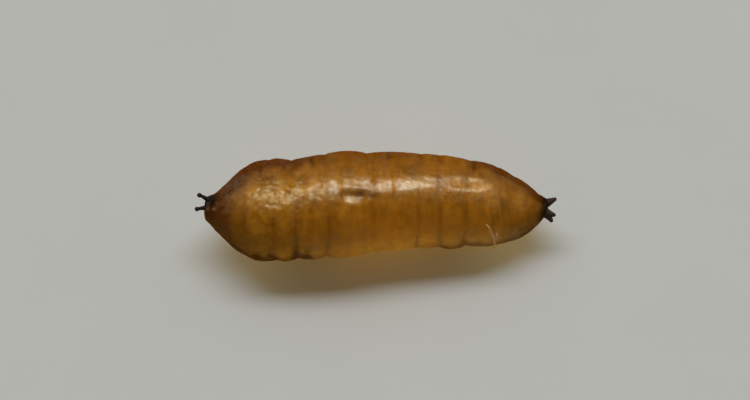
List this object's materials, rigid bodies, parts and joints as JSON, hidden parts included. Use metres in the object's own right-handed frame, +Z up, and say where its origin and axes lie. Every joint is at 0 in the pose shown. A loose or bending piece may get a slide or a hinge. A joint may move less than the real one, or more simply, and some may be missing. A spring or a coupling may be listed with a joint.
{
  "type": "fly puparium",
  "caption": "Hardened larval skin of a small fly: a ringed, spindle-shaped body lying on its belly, with knobbed breathing horns at both ends.",
  "frame": {"origin": "on the surface it lies on, below the middle of its length and width", "axes": "+X along the body towards the tail end, +Z up from the surface it lies on"},
  "size_m": [0.0032, 0.001, 0.0008],
  "materials": {
    "amber_skin": "glossy, finely wrinkled, slightly translucent amber skin, darker at both ends"
  },
  "bodies": {
    "root": {"puparium": "amber_skin"}
  },
  "joints": []
}
